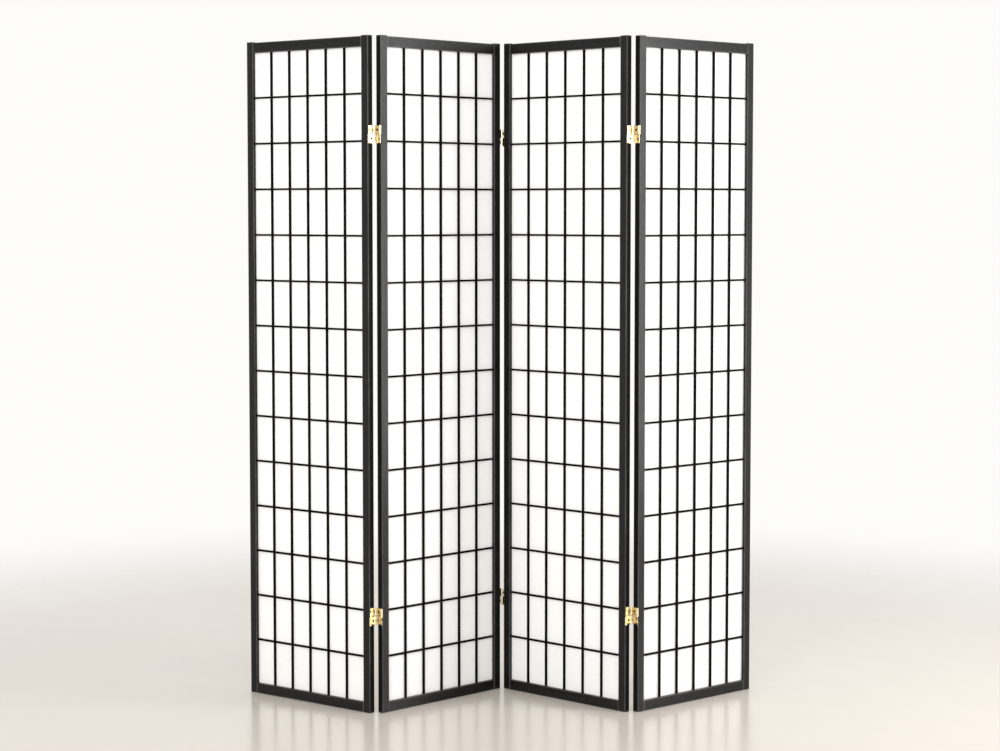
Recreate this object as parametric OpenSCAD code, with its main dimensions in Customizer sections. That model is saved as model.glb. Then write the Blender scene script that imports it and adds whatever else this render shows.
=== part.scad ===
// Four-panel folding screen: wooden frames with a paper-backed lattice,
// joined by two-way hinges and standing in a zigzag.
// Millimetres, +Z up, +X to the right seen from the front, the front faces -Y.
// The origin is on the floor, in the middle of the screen's bounding box.

/* [Panel] */
// Height of a panel
panel_h = 1790; // [1200:5:2100]
// Width of a panel, across both stiles
panel_w = 430; // [300:5:600]
// Thickness of the frame, front to rear
panel_t = 19; // [17:0.5:30]

/* [Frame] */
// Front width of a stile
stile_w = 23; // [20:1:40]
// Height of the top and bottom rails
rail_h = 28; // [22:1:60]
// How far the stiles stand above the top rail
stile_proud = 2; // [0:0.5:6]
// Radius that eases the long edges of the frame
ease_r = 1.5; // [0.5:0.25:2.5]
// Width of the rebate behind the lattice
rebate_w = 7; // [4:0.5:9]

/* [Lattice] */
// Columns of panes
columns = 6; // [2:1:8]
// Rows of panes
rows = 14; // [2:1:18]
// Width of a lattice bar, seen from the front
bar_w = 5; // [3:0.5:8]
// Depth of a lattice bar, front to rear
bar_d = 6; // [4:0.5:6.5]
// Distance of the lattice behind the front face
bar_inset = 3; // [1:0.25:3]
// Thickness of the paper
paper_t = 0.6; // [0.4:0.1:1]

/* [Corner joints] */
// Diameter of a corner dowel
dowel_d = 6; // [4:0.5:6]
// Length of a corner dowel
dowel_l = 32; // [20:1:36]

/* [Hinges] */
// Gap between two flat panels, filled by the hinge
hinge_gap = 9; // [8.6:0.1:12]
// Height of a hinge
hinge_h = 46; // [36:1:70]
// Distance from a panel's top or bottom to the middle of a hinge
hinge_inset = 258; // [120:1:400]
// Distance of the pin axes outside the front and rear faces
pin_offset = 2; // [1.5:0.1:4]
// Outer diameter of the barrels
barrel_d = 6; // [5:0.1:6.2]
// Diameter of the pins
pin_d = 2.8; // [2:0.1:3]
// Thickness of the leaves and links
leaf_t = 1.2; // [0.8:0.1:1.2]

/* [Screws] */
// Diameter of a screw head
head_d = 6.4; // [5:0.1:7]
// Diameter of a screw shank
shank_d = 3; // [2.5:0.1:3.2]
// Length of a screw
screw_l = 15; // [10:1:17]

/* [Stance] */
// Direction of the first panel, from the X axis
lead_angle = -36.5; // [-60:0.5:0]
// Fold of the first joint, from flat
fold_1 = 80; // [0:0.5:120]
// Fold of the second joint, from flat
fold_2 = 85; // [0:0.5:120]
// Fold of the third joint, from flat
fold_3 = 81.5; // [0:0.5:120]

/* [Hidden] */
NODES = [
    for (i = [1 : 4], part = ["left_stile", "right_stile", "top_rail", "bottom_rail", "uprights",
                              "crossbars", "paper", "beads", "dowels"])
        str("panel_", i, "_", part),
    for (j = [1 : 3], part = ["left_leaves", "right_leaves", "upper_links", "lower_links",
                              "upper_pins", "lower_pins", "left_screws", "right_screws"])
        str("hinge_", j, "_", part)
];
node = "all";
$fn = 48;

wood = [0.09, 0.09, 0.09];
paper_white = [0.96, 0.96, 0.93];
brass = [0.85, 0.68, 0.38];
hidden_wood = [0.75, 0.62, 0.45];

// Opening inside the frame, and the pitch of the lattice in it
open_w = panel_w - 2 * stile_w;
open_z0 = rail_h;
open_z1 = panel_h - stile_proud - rail_h;
open_h = open_z1 - open_z0;
pitch_x = (open_w + bar_w) / columns;
pitch_z = (open_h + bar_w) / rows;
lap = 1;                              // overshoot of a cutting tool

// Paper on the rebate's ledge, just behind the lattice, and the slips that hold it there
rebate_y = bar_inset + bar_d;
fit_gap = 0.2;                        // slack of the paper and the beads in the rebate
bead_t = 6.5;
bead_w = rebate_w - fit_gap;
bead_y = rebate_y + paper_t;
rebate_x0 = stile_w - bead_w;
rebate_z0 = open_z0 - bead_w;
rebate_z1 = open_z1 + bead_w;

// Corner dowels: two in each corner, above each other
dowel_spare = 1;                      // empty length at each end of a dowel's holes
dowel_z = (rail_h - rebate_w) / 2;
dowel_dz = dowel_z / 2;
slack = 0.05;                         // clearance around dowels, screws and pins

// Hinge parts, in the hinge's own frame: x across the gap, y from front to rear
half_h = hinge_h / 2;
knuckle_h = half_h / 3;
knuckle_gap = 0.2;                    // end clearance between knuckles
leaf_margin = 1.5;                    // distance from a leaf's edge to the frame's faces
point_h = 2;                          // tapered end of a screw
point_d = 0.8;
leaf_x = -hinge_gap / 2;              // back of the left leaf, on the stile
front_y = -pin_offset;
rear_y = panel_t + pin_offset;
mid_y = panel_t / 2;
screw_z = half_h / 2;
window_d = head_d + 1.2;              // hole in a link, in front of a screw head
sink_depth = (head_d - shank_d) / 2;  // height of a head's 90 degree cone
slot_w = 1;                           // cross recess of a screw head
slot_depth = 0.7;
hinge_z = [hinge_inset, panel_h - hinge_inset];

// Each panel's direction, its front left corner and the pin axes that join the panels
angles = [lead_angle, lead_angle + fold_1, lead_angle + fold_1 - fold_2,
          lead_angle + fold_1 - fold_2 + fold_3];
// A point at (u, v) in a panel that starts at p and points along angle a
function at(p, a, u, v) = [p[0] + u * cos(a) - v * sin(a), p[1] + u * sin(a) + v * cos(a)];
// The corner of a panel whose point (u, v) lies at p
function corner(p, a, u, v) = at(p, a, -u, -v);
left_u = -hinge_gap / 2;
right_u = panel_w + hinge_gap / 2;
raw_1 = [0, 0];
raw_2 = corner(at(raw_1, angles[0], right_u, rear_y), angles[1], left_u, rear_y);
raw_3 = corner(at(raw_2, angles[1], right_u, front_y), angles[2], left_u, front_y);
raw_4 = corner(at(raw_3, angles[2], right_u, rear_y), angles[3], left_u, rear_y);
raw = [raw_1, raw_2, raw_3, raw_4];

// Round outlines that bound the screen: each panel's eased corners and the barrels on its edges
outline = [
    for (i = [0 : 3], u = [ease_r, panel_w - ease_r], v = [ease_r, panel_t - ease_r])
        concat(at(raw[i], angles[i], u, v), ease_r),
    for (i = [0 : 3], y = [front_y, rear_y], u = [left_u, right_u])
        if (!(i == 0 && u == left_u) && !(i == 3 && u == right_u))
            concat(at(raw[i], angles[i], u, y), barrel_d / 2)
];
shift = [
    -(min([for (c = outline) c[0] - c[2]]) + max([for (c = outline) c[0] + c[2]])) / 2,
    -(min([for (c = outline) c[1] - c[2]]) + max([for (c = outline) c[1] + c[2]])) / 2
];
origins = [for (p = raw) p + shift];
pivots = [at(origins[0], angles[0], right_u, rear_y), at(origins[1], angles[1], right_u, front_y),
          at(origins[2], angles[2], right_u, rear_y)];

// Which panel (1 to 4) carries the upper links and the lower links of each joint
upper_on = [2, 2, 4];
lower_on = [1, 3, 3];

// ---- placing ----

// Puts children, drawn in a panel's frame, where panel i stands
module on_panel(i) {
    translate([origins[i - 1][0], origins[i - 1][1], 0]) rotate([0, 0, angles[i - 1]]) children();
}

// Puts children, drawn in a hinge's frame, at both hinges of joint j, on panel i
module at_hinges(j, i) {
    for (z = hinge_z)
        on_panel(i) translate([i == j ? right_u : left_u, 0, z]) children();
}

// ---- frame ----

// A rectangle with rounded corners, from (0, 0) to (w, h)
module eased(w, h, r) {
    translate([r, 0]) square([w - 2 * r, h]);
    translate([0, r]) square([w, h - 2 * r]);
    for (x = [r, w - r], y = [r, h - r]) translate([x, y]) circle(r);
}

// Section of a frame member: its inner edge, at x = w, has the rebate for the paper
module frame_section(w) {
    difference() {
        eased(w, panel_t, ease_r);
        translate([w - rebate_w, rebate_y]) square([rebate_w + lap, panel_t]);
    }
}

// The left stile: its plan is the frame section, and a hinged one is drilled for screws
module left_stile(hinged) {
    color(wood) difference() {
        linear_extrude(panel_h) frame_section(stile_w);
        left_dowels(dowel_spare, slack);
        if (hinged)
            for (z = hinge_z)
                translate([left_u, 0, z]) turned() screw_blanks(slack);
    }
}

module right_stile(hinged) {
    across() left_stile(hinged);
}

// Mirrors children from the left of a panel to its right
module across() {
    translate([panel_w, 0, 0]) mirror([1, 0, 0]) children();
}

// Children, a frame section, as a bar along X that stops short of both edges of the panel
module rail_bar(inset) {
    translate([inset, 0, 0]) rotate([0, 90, 0])
        linear_extrude(panel_w - 2 * inset) mirror([1, 0]) children();
}

// The front of a rail meets the stiles' inner faces, and its rear runs on into their rebates
module bottom_rail() {
    color(wood) difference() {
        union() {
            rail_bar(stile_w) frame_section(rail_h);
            rail_bar(stile_w - rebate_w) intersection() {
                frame_section(rail_h);
                translate([0, rebate_y]) square([rail_h, panel_t]);
            }
        }
        left_dowels(dowel_spare, slack);
        across() left_dowels(dowel_spare, slack);
    }
}

module top_rail() {
    translate([0, 0, panel_h - stile_proud]) mirror([0, 0, 1]) bottom_rail();
}

// Dowels of the left stile, or the holes for them when they are longer and wider
module left_dowels(longer = 0, wider = 0) {
    for (z = [dowel_z, panel_h - stile_proud - dowel_z], dz = [-dowel_dz, dowel_dz])
        translate([stile_w - dowel_l / 2 - longer, mid_y, z + dz]) rotate([0, 90, 0])
            cylinder(d = dowel_d + 2 * wider, h = dowel_l + 2 * longer);
}

module dowels() {
    color(hidden_wood) {
        left_dowels();
        across() left_dowels();
    }
}

// ---- lattice and paper ----

function bar_x(k) = stile_w + k * pitch_x - bar_w;
function bar_z(k) = open_z0 + k * pitch_z - bar_w;

// The uprights are notched at the front, and the crossbars lie in the notches
module uprights() {
    color(wood) for (k = [1 : columns - 1])
        difference() {
            translate([bar_x(k), bar_inset, open_z0]) cube([bar_w, bar_d, open_h]);
            for (n = [1 : rows - 1])
                translate([bar_x(k) - lap, bar_inset - lap, bar_z(n)])
                    cube([bar_w + 2 * lap, bar_d / 2 + lap, bar_w]);
        }
}

module crossbars() {
    color(wood) for (n = [1 : rows - 1])
        difference() {
            translate([stile_w, bar_inset, bar_z(n)]) cube([open_w, bar_d, bar_w]);
            for (k = [1 : columns - 1])
                translate([bar_x(k), bar_inset + bar_d / 2, bar_z(n) - lap])
                    cube([bar_w, bar_d / 2 + lap, bar_w + 2 * lap]);
        }
}

module paper() {
    color(paper_white) translate([rebate_x0, rebate_y, rebate_z0])
        cube([panel_w - 2 * rebate_x0, paper_t, rebate_z1 - rebate_z0]);
}

// Two long slips, with two short ones fitted between them
module beads() {
    color(wood) {
        for (x = [rebate_x0, panel_w - stile_w])
            translate([x, bead_y, rebate_z0]) cube([bead_w, bead_t, rebate_z1 - rebate_z0]);
        for (z = [rebate_z0, open_z1])
            translate([stile_w + fit_gap, bead_y, z]) cube([open_w - 2 * fit_gap, bead_t, bead_w]);
    }
}

// ---- hinges, in the hinge's own frame with z = 0 at its middle ----

// Turns children half round, from the left leaf's side of the gap to the right leaf's
module turned() {
    translate([0, panel_t, 0]) rotate([0, 0, 180]) children();
}

// One of the three knuckles of the upper half; n counts from the middle up
module knuckle_level(n) {
    translate([0, 0, n * knuckle_h + knuckle_gap / 2])
        linear_extrude(knuckle_h - knuckle_gap) children();
}

module barrel_section(y) {
    translate([0, y]) circle(d = barrel_d);
}

module pin_holes() {
    for (y = [front_y, rear_y])
        translate([0, y, -hinge_h]) cylinder(d = pin_d + 2 * slack, h = 2 * hinge_h);
}

// The leaf's crank, from the plate to the rear barrel
module crank_section() {
    r = barrel_d / 2;
    polygon([[leaf_x, panel_t - 2 * leaf_margin], [leaf_x + leaf_t, panel_t - 2 * leaf_margin],
             [-r / 2, rear_y - r / 2], [-r / 2, rear_y], [-r, rear_y]]);
}

module rear_knuckle() {
    knuckle_level(1) {
        barrel_section(rear_y);
        crank_section();
    }
}

// The left leaf: its knuckle is at the rear in the upper half and at the front in the lower half
module left_leaf() {
    color(brass) difference() {
        union() {
            translate([leaf_x, leaf_margin, -half_h + knuckle_gap / 2])
                cube([leaf_t, panel_t - 2 * leaf_margin, hinge_h - knuckle_gap]);
            rear_knuckle();
            translate([0, panel_t, 0]) rotate([180, 0, 0]) rear_knuckle();
        }
        pin_holes();
        screw_blanks(slack);
    }
}

module right_leaf() {
    turned() left_leaf();
}

// The upper link: a plate in the middle of the gap, with two knuckles on each pin
module upper_link() {
    clear = barrel_d / 2 + 0.4;
    color(brass) difference() {
        union() {
            translate([-leaf_t / 2, front_y + clear, knuckle_gap / 2])
                cube([leaf_t, rear_y - front_y - 2 * clear, half_h - knuckle_gap]);
            for (n = [0, 2])
                knuckle_level(n) {
                    for (y = [front_y, rear_y]) barrel_section(y);
                    translate([-leaf_t / 2, front_y]) square([leaf_t, rear_y - front_y]);
                }
        }
        pin_holes();
        translate([-leaf_t, mid_y, screw_z]) rotate([0, 90, 0]) cylinder(d = window_d, h = 2 * leaf_t);
    }
}

module lower_link() {
    mirror([0, 0, 1]) upper_link();
}

module upper_pins() {
    color(brass) for (y = [front_y, rear_y])
        translate([0, y, knuckle_gap / 2]) cylinder(d = pin_d, h = half_h - knuckle_gap);
}

module lower_pins() {
    mirror([0, 0, 1]) upper_pins();
}

// The two screws of the left leaf, without their recesses, or the holes for them
module screw_blanks(wider = 0) {
    d = shank_d + 2 * wider;
    for (dz = [-screw_z, screw_z])
        translate([leaf_x + leaf_t, mid_y, dz]) rotate([0, -90, 0]) {
            cylinder(d1 = head_d + 2 * wider, d2 = d, h = sink_depth);
            cylinder(d = d, h = screw_l - point_h);
            translate([0, 0, screw_l - point_h]) cylinder(d1 = d, d2 = point_d, h = point_h + wider);
        }
}

// Countersunk screws with a cross recess, driven through the left leaf
module left_screws() {
    color(brass) difference() {
        screw_blanks();
        for (dz = [-screw_z, screw_z], a = [0, 90])
            translate([leaf_x + leaf_t, mid_y, dz]) rotate([a, 0, 0])
                translate([-slot_depth, -head_d / 3, -slot_w / 2])
                    cube([slot_depth + lap, 2 * head_d / 3, slot_w]);
    }
}

module right_screws() {
    turned() left_screws();
}

// ---- nodes ----

function shown(name) = node == "all" || node == name;

for (i = [1 : 4]) {
    if (shown(str("panel_", i, "_left_stile"))) on_panel(i) left_stile(hinged = i > 1);
    if (shown(str("panel_", i, "_right_stile"))) on_panel(i) right_stile(hinged = i < 4);
    if (shown(str("panel_", i, "_top_rail"))) on_panel(i) top_rail();
    if (shown(str("panel_", i, "_bottom_rail"))) on_panel(i) bottom_rail();
    if (shown(str("panel_", i, "_uprights"))) on_panel(i) uprights();
    if (shown(str("panel_", i, "_crossbars"))) on_panel(i) crossbars();
    if (shown(str("panel_", i, "_paper"))) on_panel(i) paper();
    if (shown(str("panel_", i, "_beads"))) on_panel(i) beads();
    if (shown(str("panel_", i, "_dowels"))) on_panel(i) dowels();
}

for (j = [1 : 3]) {
    if (shown(str("hinge_", j, "_left_leaves"))) at_hinges(j, j) left_leaf();
    if (shown(str("hinge_", j, "_right_leaves"))) at_hinges(j, j + 1) right_leaf();
    if (shown(str("hinge_", j, "_upper_links"))) at_hinges(j, upper_on[j - 1]) upper_link();
    if (shown(str("hinge_", j, "_lower_links"))) at_hinges(j, lower_on[j - 1]) lower_link();
    if (shown(str("hinge_", j, "_upper_pins"))) at_hinges(j, upper_on[j - 1]) upper_pins();
    if (shown(str("hinge_", j, "_lower_pins"))) at_hinges(j, lower_on[j - 1]) lower_pins();
    if (shown(str("hinge_", j, "_left_screws"))) at_hinges(j, j) left_screws();
    if (shown(str("hinge_", j, "_right_screws"))) at_hinges(j, j + 1) right_screws();
}
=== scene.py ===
"""Finishes a four-panel folding screen around its CAD frame.

Each panel is a stained frame with a lattice that papers are glued behind, and two-way brass hinges
join the panels. The CAD nodes keep their places and get eased edges and materials here, and the
papers are made here. Metres, +Z up, the front faces -Y.
"""

import math

import bmesh
import bpy
from mathutils import Matrix, Vector, noise


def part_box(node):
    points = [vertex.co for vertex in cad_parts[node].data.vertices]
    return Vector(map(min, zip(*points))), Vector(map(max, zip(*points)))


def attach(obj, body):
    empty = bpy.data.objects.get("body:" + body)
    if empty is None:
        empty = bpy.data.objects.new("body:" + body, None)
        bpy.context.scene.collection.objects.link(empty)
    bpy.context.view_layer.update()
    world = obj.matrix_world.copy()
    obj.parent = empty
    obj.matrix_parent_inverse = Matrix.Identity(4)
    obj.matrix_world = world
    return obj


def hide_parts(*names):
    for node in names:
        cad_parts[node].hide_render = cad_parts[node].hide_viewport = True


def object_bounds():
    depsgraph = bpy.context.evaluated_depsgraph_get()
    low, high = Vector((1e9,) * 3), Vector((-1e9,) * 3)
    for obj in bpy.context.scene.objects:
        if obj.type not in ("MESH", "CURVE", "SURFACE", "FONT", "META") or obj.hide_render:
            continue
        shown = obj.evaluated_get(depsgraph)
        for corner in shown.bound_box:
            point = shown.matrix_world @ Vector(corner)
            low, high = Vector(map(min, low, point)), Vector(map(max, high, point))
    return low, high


bl_info = {
    "name": "Folding Screen",
    "version": (1, 0, 0),
    "blender": (4, 5, 0),
    "location": "View3D > Sidebar > Screen",
    "description": "Finishes a papered folding screen, its hinges and its studio stage",
    "category": "Object",
}

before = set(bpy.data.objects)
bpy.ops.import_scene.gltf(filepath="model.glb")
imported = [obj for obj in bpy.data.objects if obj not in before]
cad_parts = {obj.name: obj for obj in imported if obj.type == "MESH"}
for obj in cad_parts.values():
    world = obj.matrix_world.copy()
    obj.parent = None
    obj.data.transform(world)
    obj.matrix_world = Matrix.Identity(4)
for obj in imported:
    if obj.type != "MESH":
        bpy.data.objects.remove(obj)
cad_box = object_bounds()

MM = 0.001

PANELS = (1, 2, 3, 4)
HINGES = (1, 2, 3)
STILES = ("left_stile", "right_stile")
RAILS = ("top_rail", "bottom_rail")
HINGE_PLATES = ("left_leaves", "right_leaves", "upper_links", "lower_links")
HINGE_PINS = ("upper_pins", "lower_pins")
HINGE_SCREWS = ("left_screws", "right_screws")

# Gap between points along an axis that parts one lattice bar from the next
BAR_GAP = 20 * MM

# Grid cells of a sheet between two bars, across the pane and up it
CELLS_ACROSS = 8
CELLS_UP = 12
# Distance from a bar at which the paper is free to pucker
FREE_AT = 12 * MM
# Waves of the pucker: cycles per metre across and up, its mean, and how far apart the panels' patterns lie
WAVES_ACROSS = 17
WAVES_UP = 11
WAVE_MEAN = 0.6
PATTERN_STEP = 5.0

# How far in from an arris the colour is paled, partly as worn finish and partly as a painted highlight, on a
# frame and on a lattice bar
FRAME_WEAR_AND_HIGHLIGHT = 3.5 * MM
BAR_WEAR_AND_HIGHLIGHT = 0.5 * MM

# Modifiers that ease the edges of the CAD nodes
WELD_WITHIN = 1e-6
FLAT_WITHIN = math.radians(0.6)
SHARPER_THAN = math.radians(40)
ARRIS_SEGMENTS = 2

# Width of the camera's sensor in millimetres, and sides of the round floor
SENSOR_WIDTH = 36.0
FLOOR_SIDES = 96

# Where the soft lights stand, and their width and height
LEFT_LIGHT_PLACE = Vector((-2.1, -5.0, 1.6))
LEFT_LIGHT_SIZE = (1.6, 2.2)
FRONT_LIGHT_PLACE = Vector((0.3, -5.2, 3.2))
FRONT_LIGHT_SIZE = (1.8, 1.2)
RIGHT_LIGHT_PLACE = Vector((3.0, -0.76, 1.45))
RIGHT_LIGHT_SIZE = (0.8, 2.7)


# ---- settings ----


def colour_setting(name, description, default):
    """A colour that a user can change, in linear red, green and blue."""
    return bpy.props.FloatVectorProperty(
        name=name, description=description, default=default, subtype="COLOR", size=3, min=0, max=1
    )


def length_setting(name, description, default):
    """A length that a user can change, in metres."""
    return bpy.props.FloatProperty(
        name=name, description=description, default=default, unit="LENGTH", min=0, max=10, precision=4
    )


def share_setting(name, description, default):
    """A number from 0 to 1 that a user can change."""
    return bpy.props.FloatProperty(
        name=name, description=description, default=default, subtype="FACTOR", min=0, max=1
    )


def angle_setting(name, description, default):
    """An angle that a user can change, in radians."""
    return bpy.props.FloatProperty(
        name=name, description=description, default=default, subtype="ANGLE", unit="ROTATION"
    )


def power_setting(name, description, default):
    """A lamp's power that a user can change, in watts."""
    return bpy.props.FloatProperty(
        name=name, description=description, default=default, unit="POWER", min=0
    )


class WoodSettings(bpy.types.PropertyGroup):
    """Black stain and satin lacquer on the frames and the lattice."""

    stain: colour_setting("Stain", "Colour of the wood between its grain lines", (0.0025, 0.0025, 0.0027))
    grain: colour_setting("Grain", "Colour of the paler grain lines", (0.011, 0.0106, 0.0102))
    # Painted highlight and wear: this pale colour on the frames' arrises stands partly for thin stain and
    # partly for light caught by the eased arrises
    worn_edge_and_highlight: colour_setting("Rubbed edge", "Colour of the edges where the stain is thin", (0.13, 0.125, 0.12))
    pore: colour_setting("Pores", "Colour in the open pores", (0.002, 0.002, 0.002))
    bar_stain: colour_setting(
        "Bar stain", "Colour of the lattice bars between their grain lines", (0.0016, 0.0016, 0.0017)
    )
    # On the bars' arrises this colour is also laid as wear and painted highlight
    bar_grain: colour_setting(
        "Bar grain", "Colour of the paler grain lines and the edges of the bars", (0.005, 0.0048, 0.0046)
    )
    dowel: colour_setting("Dowel", "Colour of the dowels' bare wood", (0.55, 0.38, 0.22))
    dowel_pale: colour_setting("Pale dowel", "Colour of the dowels' paler fibres", (0.74, 0.58, 0.4))
    gloss: share_setting("Roughness", "Roughness of the frames' lacquer", 0.24)
    sheen_level: share_setting("Reflection", "Strength of the reflection of the frames' lacquer", 0.22)
    bar_gloss: share_setting("Bar roughness", "Roughness of the lattice bars", 0.5)
    bar_sheen: share_setting("Bar reflection", "Strength of the reflection of the lattice bars", 0.02)
    pore_depth: length_setting("Pore depth", "Depth of the open pores", 0.00008)
    frame_arris: length_setting("Frame arris", "Width of the eased ends of stiles and rails", 0.0006)
    bar_arris: length_setting("Bar arris", "Width of the eased edges of the lattice bars", 0.0004)


class PaperSettings(bpy.types.PropertyGroup):
    """Fibrous white paper behind the lattice."""

    pulp: colour_setting("Pulp", "Colour of the paper's pulp", (0.945, 0.944, 0.936))
    fibre: colour_setting("Fibre", "Colour of the long fibres in the paper", (0.985, 0.985, 0.98))
    glow: share_setting("Translucency", "Share of the light that the paper scatters through", 0.45)
    thickness: length_setting("Thickness", "Thickness of the paper", 0.00022)
    pucker: length_setting("Pucker", "How far the paper strays from flat between the bars", 0.0003)
    tooth: length_setting("Tooth", "Height of the paper's surface texture", 0.00003)


class BrassSettings(bpy.types.PropertyGroup):
    """Polished brass of the hinges and their screws."""

    metal: colour_setting("Metal", "Colour of the polished brass", (0.86, 0.72, 0.45))
    tarnish: colour_setting("Tarnish", "Colour of the brass where it has dulled", (0.5, 0.35, 0.15))
    # Painted shade: this near-black colour is laid on the brass in gaps and recesses, where nearby parts hem
    # it in
    recess_shade: colour_setting("Shade", "Colour of the dirt in the gaps and recesses", (0.035, 0.02, 0.01))
    shade_reach: length_setting("Grime reach", "How wide a gap can be and still hold dirt", 0.006)
    gloss: share_setting("Roughness", "Roughness of the polished brass", 0.09)
    wear: share_setting("Wear", "How much the leaves, links and pins have dulled", 0.3)
    screw_gloss: share_setting("Screw roughness", "Roughness of the screw heads", 0.14)
    screw_wear: share_setting("Screw wear", "How much the screws have dulled", 0.55)
    plate_arris: length_setting("Plate arris", "Width of the eased edges of leaves and links", 0.00018)
    screw_arris: length_setting("Screw arris", "Width of the eased edges of the screws", 0.00008)


class StageSettings(bpy.types.PropertyGroup):
    """Pale floor and soft studio light."""

    floor: colour_setting("Floor", "Colour of the floor", (0.58, 0.53, 0.475))
    floor_gloss: share_setting("Floor roughness", "Roughness of the polished floor", 0.2)
    floor_radius: length_setting("Floor radius", "Radius at which the floor has faded away", 3.6)
    air: colour_setting("Surroundings", "Colour of the light from all round", (0.97, 0.965, 0.955))
    air_strength: bpy.props.FloatProperty(
        name="Surrounding strength", description="Strength of the light from all round", default=1.01, min=0
    )
    front_power: power_setting("Front light", "Power of the light above the camera", 65.0)
    left_power: power_setting("Left light", "Power of the large light at the front left", 125.0)
    right_power: power_setting("Right light", "Power of the tall light on the right", 62.0)


class CameraSettings(bpy.types.PropertyGroup):
    """Viewpoint, at eye height in front of the screen."""

    place: bpy.props.FloatVectorProperty(
        name="Place",
        description="Where the camera stands",
        default=(-0.0026, -5.6916, 1.3305),
        subtype="TRANSLATION",
        unit="LENGTH",
        size=3,
    )
    tilt: angle_setting("Tilt", "How far the camera looks down", math.radians(3.365))
    lens: bpy.props.FloatProperty(
        name="Lens", description="Focal length", default=76.01, unit="CAMERA", min=10, max=300
    )
    rise: bpy.props.FloatProperty(
        name="Vertical shift", description="Vertical shift, in widths of the image", default=-0.04
    )


class ScreenSettings(bpy.types.PropertyGroup):
    """All settings of the folding screen."""

    wood: bpy.props.PointerProperty(type=WoodSettings, name="Wood", description="Wood settings")
    paper: bpy.props.PointerProperty(type=PaperSettings, name="Paper", description="Paper settings")
    brass: bpy.props.PointerProperty(type=BrassSettings, name="Brass", description="Brass settings")
    stage: bpy.props.PointerProperty(type=StageSettings, name="Stage", description="Stage settings")
    camera: bpy.props.PointerProperty(type=CameraSettings, name="Camera", description="Camera settings")


# ---- places read from the frame ----


def panel_axes(panel):
    """Unit vectors of a panel: across it to the right, from its front to its rear, and up."""
    bars_low, bars_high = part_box(f"panel_{panel}_crossbars")
    paper_low, paper_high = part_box(f"panel_{panel}_paper")
    rear = paper_low + paper_high - bars_low - bars_high
    rear.z = 0
    rear.normalize()
    return Vector((rear.y, -rear.x, 0)), rear, Vector((0, 0, 1))


def reach(node, axis):
    """Sorted coordinates of a CAD node's points along an axis."""
    return sorted(v.co.dot(axis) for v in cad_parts[node].data.vertices)


def bars(node, axis):
    """Spans of the separate bars of a CAD node along an axis, as (low, high)."""
    places = reach(node, axis)
    breaks = [k for k in range(1, len(places)) if places[k] - places[k - 1] > BAR_GAP]
    starts = [0, *breaks]
    ends = [*breaks, len(places)]
    return [(places[a], places[b - 1]) for a, b in zip(starts, ends)]


# ---- node helpers ----


def add_node(tree, kind, inputs=None, **options):
    """Adds a shader node; a value in inputs that is a socket is linked, and any other is set."""
    made = tree.nodes.new(f"ShaderNode{kind}")
    for name, value in options.items():
        setattr(made, name, value)
    for key, value in (inputs or {}).items():
        if isinstance(value, bpy.types.NodeSocket):
            tree.links.new(value, made.inputs[key])
        else:
            made.inputs[key].default_value = value
    return made


def maths(tree, operation, a, b=0.0, clamp=False):
    """A number worked out from two others."""
    return add_node(tree, "Math", {0: a, 1: b}, operation=operation, use_clamp=clamp).outputs[0]


def multiply_add(tree, a, b, c):
    """The number a times b, plus c."""
    return add_node(tree, "Math", {0: a, 1: b, 2: c}, operation="MULTIPLY_ADD").outputs[0]


def scaled_noise(tree, vector, scale, detail=3.0, roughness=0.5):
    """Noise whose scale, in cycles per metre, can differ along the three axes."""
    stretched = add_node(tree, "Mapping", {"Vector": vector, "Scale": scale}, vector_type="POINT")
    inputs = {"Vector": stretched.outputs[0], "Scale": 1.0, "Detail": detail, "Roughness": roughness}
    return add_node(tree, "TexNoise", inputs).outputs["Fac"]


def ramp(tree, value, low, high, to_low=0.0, to_high=1.0):
    """Maps low..high smoothly to to_low..to_high."""
    inputs = {"Value": value, 1: low, 2: high, 3: to_low, 4: to_high}
    return add_node(tree, "MapRange", inputs, interpolation_type="SMOOTHSTEP").outputs["Result"]


def mix_colours(tree, share, a, b):
    """Colour a at share 0 and colour b at share 1."""
    made = add_node(tree, "Mix", {0: share, 6: a, 7: b}, data_type="RGBA")
    return made.outputs[2]


def rgba(colour):
    """A setting's colour with full alpha."""
    return (*colour, 1.0)


def new_material(name):
    """A material with a Principled shader, and that shader and the tree."""
    material = bpy.data.materials.new(name)
    material.use_nodes = True
    tree = material.node_tree
    return material, tree, tree.nodes["Principled BSDF"]


def connect(tree, shader, inputs):
    """Links or sets a shader's inputs."""
    for key, value in inputs.items():
        if isinstance(value, bpy.types.NodeSocket):
            tree.links.new(value, shader.inputs[key])
        else:
            shader.inputs[key].default_value = value


def bumped(tree, height, depth):
    """A normal from a height of 0 to 1 that stands for a depth in metres."""
    inputs = {"Height": height, "Distance": depth, "Strength": 1.0}
    return add_node(tree, "Bump", inputs).outputs["Normal"]


# ---- wood ----


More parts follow.
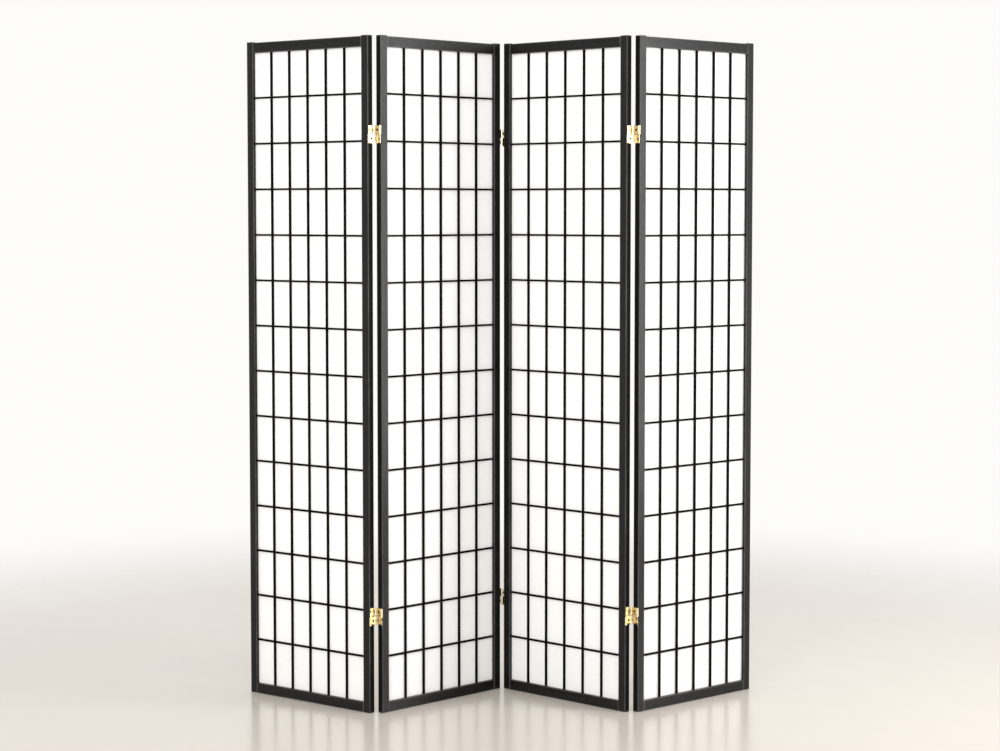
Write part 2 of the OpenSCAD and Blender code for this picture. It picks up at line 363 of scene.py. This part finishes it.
def grain_group():
    """Node group: stained wood whose grain runs along Z, with its rings, fibres and open pores."""
    group = bpy.data.node_groups.new("stained_grain", "ShaderNodeTree")
    group.interface.new_socket("Vector", in_out="INPUT", socket_type="NodeSocketVector")
    for name in ("Grain", "Pores", "Height", "Patches"):
        group.interface.new_socket(name, in_out="OUTPUT", socket_type="NodeSocketFloat")
    entry = group.nodes.new("NodeGroupInput")
    leave = group.nodes.new("NodeGroupOutput")
    place = entry.outputs["Vector"]

    # Annual rings round a pith that lies beside the member, wavering slowly along it
    drawn_out = add_node(group, "Mapping", {"Vector": place, "Scale": (9, 9, 1.6)})
    waver = add_node(group, "TexNoise", {"Vector": drawn_out.outputs[0], "Scale": 1.0, "Detail": 2.0})
    wavered = waver.outputs["Color"]
    centred = add_node(group, "VectorMath", {0: wavered, 1: (0.5, 0.5, 0.5)}, operation="SUBTRACT")
    bend = {0: centred.outputs[0], 1: (0.022, 0.022, 0.0)}
    bent = add_node(group, "VectorMath", bend, operation="MULTIPLY")
    moved = add_node(group, "VectorMath", {0: place, 1: bent.outputs[0]}, operation="ADD")
    pith = add_node(group, "Mapping", {"Vector": moved.outputs[0], "Location": (0.031, 0.087, 0.0)})
    rings = add_node(
        group,
        "TexWave",
        {"Vector": pith.outputs[0], "Scale": 118.0, "Distortion": 1.6, "Detail": 2.0, "Detail Scale": 0.6},
        wave_type="RINGS",
        rings_direction="Z",
        wave_profile="SAW",
    ).outputs["Fac"]
    late = ramp(group, rings, 0.45, 0.95)

    fibres = scaled_noise(group, place, (620, 620, 14), 4.0, 0.6)
    streaks = scaled_noise(group, place, (150, 150, 3.5), 3.0)
    patches = scaled_noise(group, place, (22, 22, 6), 2.0)
    pore_noise = scaled_noise(group, place, (2300, 2300, 120), 2.0)
    pores = ramp(group, pore_noise, 0.61, 0.7)

    grain = maths(group, "MULTIPLY", late, 0.45)
    grain = maths(group, "ADD", grain, maths(group, "MULTIPLY", ramp(group, fibres, 0.35, 0.68), 0.3))
    streaked = maths(group, "MULTIPLY", ramp(group, streaks, 0.38, 0.66), 0.35)
    grain = maths(group, "ADD", grain, streaked, clamp=True)

    height = maths(group, "MULTIPLY", fibres, 0.35)
    height = maths(group, "ADD", height, maths(group, "MULTIPLY", late, 0.2))
    height = maths(group, "SUBTRACT", height, maths(group, "MULTIPLY", pores, 0.8))

    group.links.new(grain, leave.inputs["Grain"])
    group.links.new(pores, leave.inputs["Pores"])
    group.links.new(height, leave.inputs["Height"])
    group.links.new(patches, leave.inputs["Patches"])
    return group


def black_wood(name, axes, along, settings, bar=False):
    """Black-stained wood of one panel, with its grain along the axis numbered along (0 across, 2 up)."""
    stain = settings.bar_stain if bar else settings.stain
    grain_colour = settings.bar_grain if bar else settings.grain
    worn_edge_and_highlight = settings.bar_grain if bar else settings.worn_edge_and_highlight
    gloss = settings.bar_gloss if bar else settings.gloss
    sheen = settings.bar_sheen if bar else settings.sheen_level
    material, tree, shader = new_material(name)
    group = bpy.data.node_groups.get("stained_grain") or grain_group()
    turned = Matrix([axes[(along + 1) % 3], axes[(along + 2) % 3], axes[along]])
    place = add_node(tree, "TexCoord").outputs["Object"]
    aligned = add_node(tree, "Mapping", {"Vector": place, "Rotation": turned.to_euler("XYZ")}).outputs[0]
    grain = add_node(tree, "Group", {}, node_tree=group)
    tree.links.new(aligned, grain.inputs["Vector"])

    colour = mix_colours(tree, grain.outputs["Grain"], rgba(stain), rgba(grain_colour))
    in_pores = maths(tree, "MULTIPLY", grain.outputs["Pores"], 0.7)
    dark = mix_colours(tree, in_pores, colour, rgba(settings.pore))

    # Paler colour along the arrises: partly stain and lacquer thinned where hands have rubbed them, partly a
    # painted highlight for the light the eased arrises catch
    rounded = add_node(tree, "Bevel", {"Radius": BAR_WEAR_AND_HIGHLIGHT if bar else FRAME_WEAR_AND_HIGHLIGHT}, samples=6).outputs["Normal"]
    flat = add_node(tree, "NewGeometry").outputs["Normal"]
    level = add_node(tree, "VectorMath", {0: rounded, 1: flat}, operation="DOT_PRODUCT").outputs["Value"]
    edge = ramp(tree, level, 0.998, 0.95, 0.0, 1.0)
    wear_and_highlight = maths(tree, "MULTIPLY", edge, ramp(tree, grain.outputs["Patches"], 0.35, 0.65, 0.4, 1.0))
    shown = mix_colours(tree, wear_and_highlight, dark, rgba(worn_edge_and_highlight))

    rough = multiply_add(tree, grain.outputs["Patches"], 0.12, gloss - 0.06)
    rough = maths(tree, "ADD", rough, maths(tree, "MULTIPLY", grain.outputs["Pores"], 0.2), clamp=True)
    connect(
        tree,
        shader,
        {
            "Base Color": shown,
            "Roughness": rough,
            "Specular IOR Level": sheen,
            "Normal": bumped(tree, grain.outputs["Height"], settings.pore_depth),
        },
    )
    return material


def raw_wood(name, settings):
    """Bare pale hardwood of the hidden corner dowels."""
    material, tree, shader = new_material(name)
    place = add_node(tree, "TexCoord").outputs["Object"]
    fibres = scaled_noise(tree, place, (900, 900, 900), 4.0)
    connect(
        tree,
        shader,
        {
            "Base Color": mix_colours(tree, fibres, rgba(settings.dowel), rgba(settings.dowel_pale)),
            "Roughness": ramp(tree, fibres, 0.2, 0.8, 0.6, 0.8),
            "Normal": bumped(tree, fibres, 0.00005),
        },
    )
    return material


# ---- paper ----


def washi(name, axes, settings):
    """Fibrous paper: cloudy pulp with long fibres lying in it every way."""
    material, tree, shader = new_material(name)
    turned = Matrix(axes)
    place = add_node(tree, "TexCoord").outputs["Object"]
    flat = add_node(tree, "Mapping", {"Vector": place, "Rotation": turned.to_euler("XYZ")}).outputs[0]

    pulp = scaled_noise(tree, flat, (55, 55, 55), 4.0, 0.6)
    tooth = scaled_noise(tree, flat, (1500, 1500, 1500), 3.0, 0.6)
    fibres = None
    for turn, scale in ((0.4, 260.0), (-0.9, 210.0), (1.6, 240.0), (2.5, 190.0)):
        swirl = add_node(tree, "TexNoise", {"Vector": flat, "Scale": 26.0, "Detail": 2.0}).outputs["Color"]
        bend = {0: swirl, 1: (0.016, 0.016, 0.016), 2: flat}
        bent = add_node(tree, "VectorMath", bend, operation="MULTIPLY_ADD")
        lay = {"Vector": bent.outputs[0], "Rotation": (0, turn, 0), "Scale": (scale, 40.0, 12.0)}
        laid = add_node(tree, "Mapping", lay).outputs[0]
        line = add_node(tree, "TexNoise", {"Vector": laid, "Scale": 1.0, "Detail": 1.0}).outputs["Fac"]
        near = maths(tree, "ABSOLUTE", maths(tree, "SUBTRACT", line, 0.5))
        strand = ramp(tree, near, 0.004, 0.0, 0.0, 1.0)
        fibres = strand if fibres is None else maths(tree, "MAXIMUM", fibres, strand)
    cloud = ramp(tree, pulp, 0.3, 0.7, 0.0, 0.45)
    share = maths(tree, "MAXIMUM", cloud, fibres)
    height = multiply_add(tree, fibres, 0.6, tooth)
    white = mix_colours(tree, share, rgba(settings.pulp), rgba(settings.fibre))
    rough_normal = bumped(tree, height, settings.tooth)
    connect(
        tree,
        shader,
        {
            "Base Color": white,
            "Roughness": ramp(tree, tooth, 0.2, 0.8, 0.82, 0.96),
            "Specular IOR Level": 0.25,
            "Normal": rough_normal,
        },
    )
    through = add_node(tree, "BsdfTranslucent", {"Color": white, "Normal": rough_normal}).outputs[0]
    both = add_node(tree, "MixShader", {0: settings.glow, 1: shader.outputs[0], 2: through}).outputs[0]
    tree.links.new(both, tree.nodes["Material Output"].inputs["Surface"])
    return material


def pane_lines(spans, low, high, steps):
    """Grid lines across a row of panes: at each bar's edges, and steps times between two bars."""
    edges = [(low, low), *spans, (high, high)]
    lines = []
    for (_, start), (end, _) in zip(edges, edges[1:]):
        lines += [start + (end - start) * k / steps for k in range(steps + 1)]
    return lines


def slack_at(place, spans, low, high):
    """How free the paper is at a place: 0 on a bar or at the rim, 1 in the middle of a pane."""
    edges = [low, *[x for span in spans for x in span], high]
    nearest = min(abs(place - x) for x in edges)
    on_bar = any(a <= place <= b for a, b in spans)
    t = 0.0 if on_bar else min(1.0, nearest / FREE_AT)
    return t * t * (3 - 2 * t)


def paper_sheet(panel, settings):
    """One panel's paper: a thin sheet, taut on the bars and slightly puckered between them."""
    node = f"panel_{panel}_paper"
    across, rear, up = panel_axes(panel)
    rim_u = reach(node, across)
    rim_z = reach(node, up)
    front = reach(node, rear)[0]
    uprights = bars(f"panel_{panel}_uprights", across)
    crossbars = bars(f"panel_{panel}_crossbars", up)
    crossbar_reach = reach(f"panel_{panel}_crossbars", across)
    upright_reach = reach(f"panel_{panel}_uprights", up)
    frame_u = (crossbar_reach[0], crossbar_reach[-1])
    frame_z = (upright_reach[0], upright_reach[-1])
    spans_u = [(rim_u[0], frame_u[0]), *uprights, (frame_u[1], rim_u[-1])]
    spans_z = [(rim_z[0], frame_z[0]), *crossbars, (frame_z[1], rim_z[-1])]
    lines_u = pane_lines(spans_u, rim_u[0], rim_u[-1], CELLS_ACROSS)
    lines_z = pane_lines(spans_z, rim_z[0], rim_z[-1], CELLS_UP)
    lines_u = sorted({round(x, 6) for x in lines_u})
    lines_z = sorted({round(x, 6) for x in lines_z})

    mesh = bmesh.new()
    rows = []
    for z in lines_z:
        row = []
        for u in lines_u:
            free = slack_at(u, spans_u, *frame_u) * slack_at(z, spans_z, *frame_z)
            wave = noise.noise(Vector((u * WAVES_ACROSS, z * WAVES_UP, panel * PATTERN_STEP)))
            stray = settings.pucker * free * (WAVE_MEAN + wave)
            row.append(mesh.verts.new(across * u + rear * (front + stray) + up * z))
        rows.append(row)
    for lower, upper in zip(rows, rows[1:]):
        for k in range(len(lower) - 1):
            face = mesh.faces.new((lower[k], lower[k + 1], upper[k + 1], upper[k]))
            face.smooth = True
    data = bpy.data.meshes.new(f"paper_sheet_{panel}")
    mesh.to_mesh(data)
    mesh.free()
    sheet = bpy.data.objects.new(f"paper_sheet_{panel}", data)
    bpy.context.scene.collection.objects.link(sheet)
    body = sheet.modifiers.new("thickness", "SOLIDIFY")
    body.thickness = settings.thickness
    body.offset = -1.0
    return sheet, (rim_u[-1] - rim_u[0], rim_z[-1] - rim_z[0])


# ---- brass ----


def brass(name, settings, gloss, wear):
    """Polished brass with fine scratches and a little tarnish in patches, with painted shade darkening its
    gaps and recesses.
    """
    material, tree, shader = new_material(name)
    place = add_node(tree, "TexCoord").outputs["Object"]
    cloud = scaled_noise(tree, place, (130, 130, 130), 4.0, 0.6)
    spots = scaled_noise(tree, place, (700, 700, 700), 3.0)
    scratch_a = scaled_noise(tree, place, (3500, 3500, 160), 2.0)
    scratch_b = scaled_noise(tree, place, (260, 260, 4200), 2.0)
    scratches = maths(tree, "MAXIMUM", ramp(tree, scratch_a, 0.62, 0.68), ramp(tree, scratch_b, 0.64, 0.7))
    dull = maths(tree, "MULTIPLY", ramp(tree, cloud, 0.42, 0.75), wear)
    spotted = maths(tree, "MULTIPLY", ramp(tree, spots, 0.62, 0.72), wear * 0.6)
    dull = maths(tree, "ADD", dull, spotted, clamp=True)
    rough = multiply_add(tree, dull, 0.18, gloss)
    rough = maths(tree, "ADD", rough, maths(tree, "MULTIPLY", scratches, 0.06), clamp=True)
    swell = maths(tree, "MULTIPLY", cloud, 0.3)
    height = maths(tree, "SUBTRACT", swell, maths(tree, "MULTIPLY", scratches, 0.5))
    # Painted shade: where ambient occlusion finds nearby parts, the colour goes to near-black and the surface
    # rougher
    openness = add_node(tree, "AmbientOcclusion", {"Distance": settings.shade_reach}, samples=8).outputs["AO"]
    painted_shade = ramp(tree, openness, 0.4, 0.9, 1.0, 0.0)
    rough = maths(tree, "ADD", rough, maths(tree, "MULTIPLY", painted_shade, 0.35), clamp=True)
    polished = mix_colours(tree, dull, rgba(settings.metal), rgba(settings.tarnish))
    connect(
        tree,
        shader,
        {
            "Base Color": mix_colours(tree, painted_shade, polished, rgba(settings.recess_shade)),
            "Metallic": 1.0,
            "Roughness": rough,
            "Normal": bumped(tree, height, 0.00002),
        },
    )
    return material


# ---- CAD nodes ----


def dress(node, material):
    """Gives a CAD node its material."""
    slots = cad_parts[node].material_slots
    for slot in slots:
        slot.material = material


def ease_edges(node, width):
    """Rounds the sharp edges of a CAD node by modifiers, and keeps its flats flat."""
    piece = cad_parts[node]
    weld = piece.modifiers.new("weld", "WELD")
    weld.merge_threshold = WELD_WITHIN
    flats = piece.modifiers.new("flats", "DECIMATE")
    flats.decimate_type = "DISSOLVE"
    flats.angle_limit = FLAT_WITHIN
    bevel = piece.modifiers.new("arris", "BEVEL")
    bevel.width = width
    bevel.segments = ARRIS_SEGMENTS
    bevel.limit_method = "ANGLE"
    bevel.angle_limit = SHARPER_THAN
    bevel.use_clamp_overlap = False
    shading = piece.modifiers.new("shading", "WEIGHTED_NORMAL")
    shading.mode = "FACE_AREA"
    shading.keep_sharp = False


# ---- stage ----


def floor_material(settings, radius):
    """Polished pale floor that fades into the surroundings."""
    material, tree, shader = new_material("pale_floor")
    place = add_node(tree, "TexCoord").outputs["Object"]
    cloud = scaled_noise(tree, place, (2.5, 2.5, 2.5), 4.0)
    pale = tuple(min(1.0, 1.06 * c) for c in settings.floor)
    gloss = settings.floor_gloss
    away = add_node(tree, "VectorMath", {0: place}, operation="LENGTH").outputs["Value"]
    connect(
        tree,
        shader,
        {
            "Base Color": mix_colours(tree, cloud, rgba(settings.floor), rgba(pale)),
            "Roughness": ramp(tree, cloud, 0.3, 0.7, gloss - 0.02, gloss + 0.02),
            "Alpha": ramp(tree, away, radius * 0.45, radius * 0.97, 1.0, 0.0),
        },
    )
    return material


def aim(obj, target):
    """Turns a lamp towards a point."""
    obj.rotation_euler = (target - obj.location).to_track_quat("-Z", "Y").to_euler()


def soft_light(name, place, target, size, power):
    """A rectangular soft light."""
    lamp = bpy.data.lights.new(name, "AREA")
    lamp.shape = "RECTANGLE"
    lamp.size, lamp.size_y = size
    lamp.energy = power
    obj = bpy.data.objects.new(name, lamp)
    bpy.context.scene.collection.objects.link(obj)
    obj.location = place
    obj.visible_camera = False
    aim(obj, target)
    return obj


# ---- operators ----


class FOLDING_SCREEN_OT_camera(bpy.types.Operator):
    """Stands the camera in front of the screen"""

    bl_idname = "folding_screen.camera"
    bl_label = "Camera"

    def execute(self, context):
        settings = context.scene.folding_screen.camera
        data = bpy.data.cameras.new("camera")
        data.sensor_width = SENSOR_WIDTH
        data.lens = settings.lens
        data.shift_y = settings.rise
        camera = bpy.data.objects.new("camera", data)
        context.scene.collection.objects.link(camera)
        camera.location = settings.place
        camera.rotation_euler = (math.pi / 2 - settings.tilt, 0, 0)
        context.scene.camera = camera
        return {"FINISHED"}


class FOLDING_SCREEN_OT_stage(bpy.types.Operator):
    """Lays the floor and sets the soft studio light"""

    bl_idname = "folding_screen.stage"
    bl_label = "Stage"

    def execute(self, context):
        settings = context.scene.folding_screen.stage
        mesh = bmesh.new()
        bmesh.ops.create_circle(mesh, cap_ends=True, segments=FLOOR_SIDES, radius=settings.floor_radius)
        data = bpy.data.meshes.new("floor")
        mesh.to_mesh(data)
        mesh.free()
        floor = bpy.data.objects.new("floor", data)
        floor.data.materials.append(floor_material(settings, settings.floor_radius))
        context.scene.collection.objects.link(floor)

        world = bpy.data.worlds.new("studio")
        world.use_nodes = True
        background = world.node_tree.nodes["Background"]
        background.inputs["Color"].default_value = rgba(settings.air)
        background.inputs["Strength"].default_value = settings.air_strength
        context.scene.world = world

        middle = (cad_box[0] + cad_box[1]) / 2
        soft_light("left_light", LEFT_LIGHT_PLACE, middle, LEFT_LIGHT_SIZE, settings.left_power)
        soft_light("front_light", FRONT_LIGHT_PLACE, middle, FRONT_LIGHT_SIZE, settings.front_power)
        soft_light("right_light", RIGHT_LIGHT_PLACE, middle, RIGHT_LIGHT_SIZE, settings.right_power)
        context.scene.view_settings.view_transform = "Standard"
        return {"FINISHED"}


class FOLDING_SCREEN_OT_frames(bpy.types.Operator):
    """Finishes the stiles and rails of all panels"""

    bl_idname = "folding_screen.frames"
    bl_label = "Frames"

    def execute(self, context):
        settings = context.scene.folding_screen.wood
        for panel in PANELS:
            axes = panel_axes(panel)
            upright = black_wood(f"black_wood_upright_{panel}", axes, 2, settings)
            level = black_wood(f"black_wood_level_{panel}", axes, 0, settings)
            for part in STILES:
                dress(f"panel_{panel}_{part}", upright)
            for part in RAILS:
                dress(f"panel_{panel}_{part}", level)
            for part in STILES + RAILS:
                ease_edges(f"panel_{panel}_{part}", settings.frame_arris)
        return {"FINISHED"}


class FOLDING_SCREEN_OT_lattice(bpy.types.Operator):
    """Finishes the uprights and crossbars of all lattices"""

    bl_idname = "folding_screen.lattice"
    bl_label = "Lattice"

    def execute(self, context):
        settings = context.scene.folding_screen.wood
        for panel in PANELS:
            axes = panel_axes(panel)
            dress(f"panel_{panel}_uprights", black_wood(f"bar_wood_upright_{panel}", axes, 2, settings, True))
            dress(f"panel_{panel}_crossbars", black_wood(f"bar_wood_level_{panel}", axes, 0, settings, True))
            for part in ("uprights", "crossbars"):
                ease_edges(f"panel_{panel}_{part}", settings.bar_arris)
        return {"FINISHED"}


class FOLDING_SCREEN_OT_papers(bpy.types.Operator):
    """Glues a sheet of paper behind each lattice"""

    bl_idname = "folding_screen.papers"
    bl_label = "Papers"

    def execute(self, context):
        settings = context.scene.folding_screen.paper
        for panel in PANELS:
            sheet, flat = paper_sheet(panel, settings)
            sheet.data.materials.append(washi(f"paper_{panel}", panel_axes(panel), settings))
            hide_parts(f"panel_{panel}_paper")
            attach(sheet, f"panel_{panel}")
        return {"FINISHED"}


class FOLDING_SCREEN_OT_beads(bpy.types.Operator):
    """Finishes the slips that hold the papers from behind"""

    bl_idname = "folding_screen.beads"
    bl_label = "Beads"

    def execute(self, context):
        settings = context.scene.folding_screen.wood
        for panel in PANELS:
            dress(f"panel_{panel}_beads", bpy.data.materials[f"black_wood_upright_{panel}"])
            ease_edges(f"panel_{panel}_beads", settings.bar_arris)
        return {"FINISHED"}


class FOLDING_SCREEN_OT_dowels(bpy.types.Operator):
    """Finishes the dowels hidden in the corners of the frames"""

    bl_idname = "folding_screen.dowels"
    bl_label = "Dowels"

    def execute(self, context):
        wood = raw_wood("raw_wood", context.scene.folding_screen.wood)
        for panel in PANELS:
            dress(f"panel_{panel}_dowels", wood)
        return {"FINISHED"}


class FOLDING_SCREEN_OT_hinges(bpy.types.Operator):
    """Polishes the leaves, links and pins of the hinges"""

    bl_idname = "folding_screen.hinges"
    bl_label = "Hinges"

    def execute(self, context):
        settings = context.scene.folding_screen.brass
        metal = brass("brass_plate", settings, settings.gloss, settings.wear)
        for hinge in HINGES:
            for part in HINGE_PLATES:
                dress(f"hinge_{hinge}_{part}", metal)
                ease_edges(f"hinge_{hinge}_{part}", settings.plate_arris)
            for part in HINGE_PINS:
                dress(f"hinge_{hinge}_{part}", metal)
        return {"FINISHED"}


class FOLDING_SCREEN_OT_screws(bpy.types.Operator):
    """Finishes the countersunk screws of the hinges"""

    bl_idname = "folding_screen.screws"
    bl_label = "Screws"

    def execute(self, context):
        settings = context.scene.folding_screen.brass
        metal = brass("brass_screw", settings, settings.screw_gloss, settings.screw_wear)
        for hinge in HINGES:
            for part in HINGE_SCREWS:
                dress(f"hinge_{hinge}_{part}", metal)
                ease_edges(f"hinge_{hinge}_{part}", settings.screw_arris)
        return {"FINISHED"}


OPERATORS = (
    FOLDING_SCREEN_OT_camera,
    FOLDING_SCREEN_OT_stage,
    FOLDING_SCREEN_OT_frames,
    FOLDING_SCREEN_OT_lattice,
    FOLDING_SCREEN_OT_papers,
    FOLDING_SCREEN_OT_beads,
    FOLDING_SCREEN_OT_dowels,
    FOLDING_SCREEN_OT_hinges,
    FOLDING_SCREEN_OT_screws,
)


class FOLDING_SCREEN_PT_steps(bpy.types.Panel):
    """Steps that finish the folding screen, in order"""

    bl_label = "Folding Screen"
    bl_idname = "FOLDING_SCREEN_PT_steps"
    bl_space_type = "VIEW_3D"
    bl_region_type = "UI"
    bl_category = "Screen"

    def draw(self, context):
        for step in OPERATORS:
            self.layout.operator(step.bl_idname)
        for name in ("wood", "paper", "brass", "stage", "camera"):
            group = getattr(context.scene.folding_screen, name)
            box = self.layout.box()
            box.label(text=name.capitalize())
            for setting in type(group).__annotations__:
                box.prop(group, setting)


CLASSES = (
    WoodSettings,
    PaperSettings,
    BrassSettings,
    StageSettings,
    CameraSettings,
    ScreenSettings,
    *OPERATORS,
    FOLDING_SCREEN_PT_steps,
)


def register():
    """Registers the settings, the steps and the panel."""
    for made in CLASSES:
        bpy.utils.register_class(made)
    bpy.types.Scene.folding_screen = bpy.props.PointerProperty(type=ScreenSettings)


def unregister():
    """Takes the settings, the steps and the panel away again."""
    del bpy.types.Scene.folding_screen
    for made in reversed(CLASSES):
        bpy.utils.unregister_class(made)


def main():
    """Registers the add-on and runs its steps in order."""
    register()
    for step in OPERATORS:
        module, name = step.bl_idname.split(".")
        getattr(getattr(bpy.ops, module), name)()


if __name__ == "__main__":
    main()
